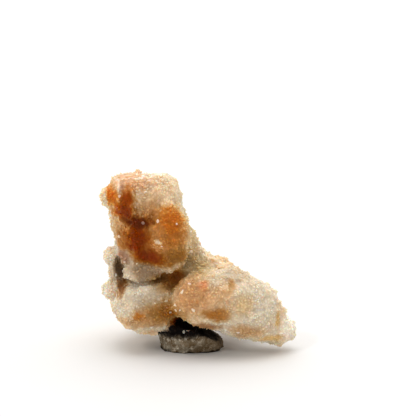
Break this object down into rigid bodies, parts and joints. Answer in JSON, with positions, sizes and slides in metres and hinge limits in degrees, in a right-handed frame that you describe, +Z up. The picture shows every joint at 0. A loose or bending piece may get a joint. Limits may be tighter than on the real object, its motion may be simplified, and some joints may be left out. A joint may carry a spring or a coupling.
{
  "type": "spirit quartz cluster",
  "caption": "Small mineral specimen: stubby quartz points grown together, crusted all over with a druse of little crystals, standing on the flat scar of its foot.",
  "frame": {"origin": "on the resting plane, under the middle of the cluster's bounding box", "axes": "+Z up from the flat scar of the foot; -Y is the front, the side the picture shows; +X points the way the long low point lies"},
  "size_m": [0.0316, 0.0204, 0.0288],
  "materials": {
    "quartz": "sugary crystal faces, milky cream-grey quartz stained orange and brown by iron"
  },
  "bodies": {
    "root": {"quartz_cluster": "quartz"}
  },
  "joints": []
}
